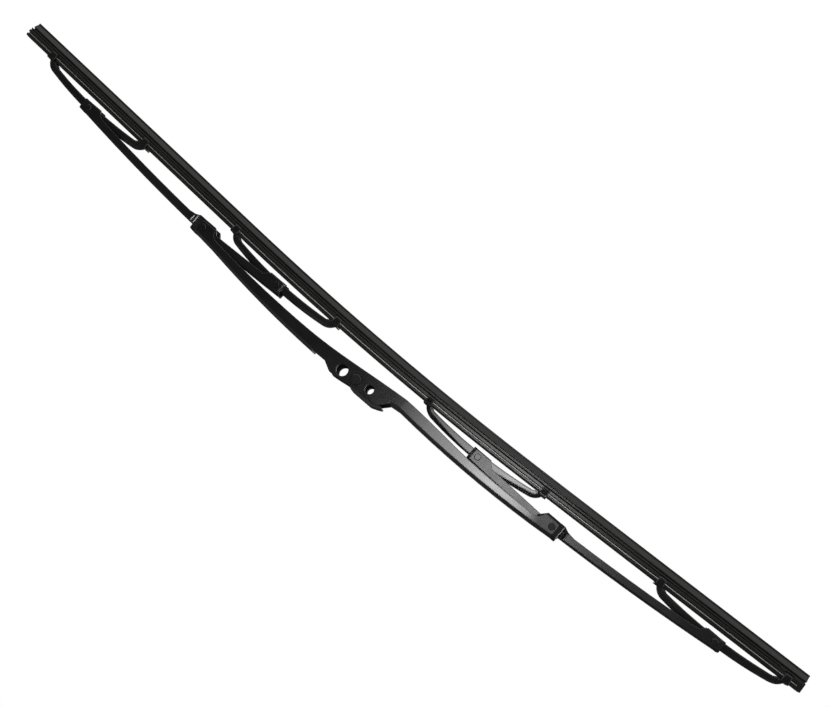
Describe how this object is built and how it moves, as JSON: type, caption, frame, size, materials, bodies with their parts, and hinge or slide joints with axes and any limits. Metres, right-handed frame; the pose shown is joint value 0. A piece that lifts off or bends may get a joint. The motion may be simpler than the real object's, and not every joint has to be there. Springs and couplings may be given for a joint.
{
  "type": "wiper blade",
  "caption": "Bracket wiper blade: a bowed primary yoke with a drilled hub carries pivoting secondary yokes and claws that hold a long rubber wiping element with spring rails.",
  "frame": {"origin": "centre of the hub's bore for the arm's side pin, midway between the hub's cheeks", "axes": "+X along the blade towards its free end, +Y across it along the bores, +Z away from the glass"},
  "size_m": [0.5352, 0.0152, 0.0419],
  "materials": {
    "black_paint": "satin black paint on pressed steel",
    "liner_plastic": "moulded black plastic",
    "rivet_steel": "painted steel rivet",
    "adapter_plastic": "moulded black plastic",
    "rubber": "graphited rubber",
    "spring_steel": "bright spring steel strip"
  },
  "bodies": {
    "primary": {"primary_yoke": "black_paint", "main_liner_left": "liner_plastic", "main_liner_right": "liner_plastic", "main_rivet_left": "rivet_steel", "main_rivet_right": "rivet_steel", "cross_pin": "rivet_steel"},
    "secondary_left": {"secondary_yoke_left": "black_paint", "claw_liner_outer_left": "liner_plastic", "claw_liner_inner_left": "liner_plastic", "claw_rivet_outer_left": "rivet_steel", "claw_rivet_inner_left": "rivet_steel"},
    "secondary_right": {"secondary_yoke_right": "black_paint", "claw_liner_outer_right": "liner_plastic", "claw_liner_inner_right": "liner_plastic", "claw_rivet_outer_right": "rivet_steel", "claw_rivet_inner_right": "rivet_steel"},
    "claw_outer_left": {"claw_outer_left": "black_paint"},
    "claw_inner_left": {"claw_inner_left": "black_paint"},
    "claw_inner_right": {"claw_inner_right": "black_paint"},
    "claw_outer_right": {"claw_outer_right": "black_paint"},
    "element": {"rubber_element": "rubber", "rail_front": "spring_steel", "rail_rear": "spring_steel"},
    "adapter": {"arm_adapter": "adapter_plastic"}
  },
  "joints": [
    {"name": "secondary_left_pivot", "type": "hinge", "parent": "primary", "child": "secondary_left", "pos_m": [-0.1324, 0, -0.0092], "axis": [0, -1, 0], "range_deg": [-2.7, 2.7], "stiffness_Nm_per_rad": 12.5, "deforming": ["rubber_element", "rail_front", "rail_rear"]},
    {"name": "secondary_right_pivot", "type": "hinge", "parent": "primary", "child": "secondary_right", "pos_m": [0.108, 0, -0.0092], "axis": [0, 1, 0], "range_deg": [-2.7, 2.7]},
    {"name": "claw_outer_left_pivot", "type": "hinge", "parent": "secondary_left", "child": "claw_outer_left", "pos_m": [-0.22789, 0, -0.01824], "axis": [0, -1, 0], "range_deg": [-1.48, 1.48]},
    {"name": "claw_inner_left_pivot", "type": "hinge", "parent": "secondary_left", "child": "claw_inner_left", "pos_m": [-0.0818, 0, -0.0115], "axis": [0, -1, 0], "range_deg": [-1.48, 1.48]},
    {"name": "claw_inner_right_pivot", "type": "hinge", "parent": "secondary_right", "child": "claw_inner_right", "pos_m": [0.0574, 0, -0.0115], "axis": [0, 1, 0], "range_deg": [-1.48, 1.48]},
    {"name": "claw_outer_right_pivot", "type": "hinge", "parent": "secondary_right", "child": "claw_outer_right", "pos_m": [0.20349, 0, -0.01824], "axis": [0, 1, 0], "range_deg": [-1.48, 1.48]},
    {"name": "element_lift", "type": "slide", "parent": "primary", "child": "element", "axis": [0, 0, 1], "range_m": [-0.00362, 0.00362]},
    {"name": "adapter_hinge", "type": "hinge", "parent": "primary", "child": "adapter", "pos_m": [-0.0086, 0, -0.0007], "axis": [0, 1, 0], "range_deg": [0, 45]}
  ],
  "couplings": [
    {"joint": "secondary_right_pivot", "follows": "secondary_left_pivot", "ratio": 1},
    {"joint": "claw_outer_left_pivot", "follows": "secondary_left_pivot", "ratio": 0.51264},
    {"joint": "claw_inner_left_pivot", "follows": "secondary_left_pivot", "ratio": -0.51264},
    {"joint": "claw_inner_right_pivot", "follows": "secondary_left_pivot", "ratio": -0.51264},
    {"joint": "claw_outer_right_pivot", "follows": "secondary_left_pivot", "ratio": 0.51264},
    {"joint": "element_lift", "follows": "secondary_left_pivot", "m_per_rad": 0.07257}
  ]
}
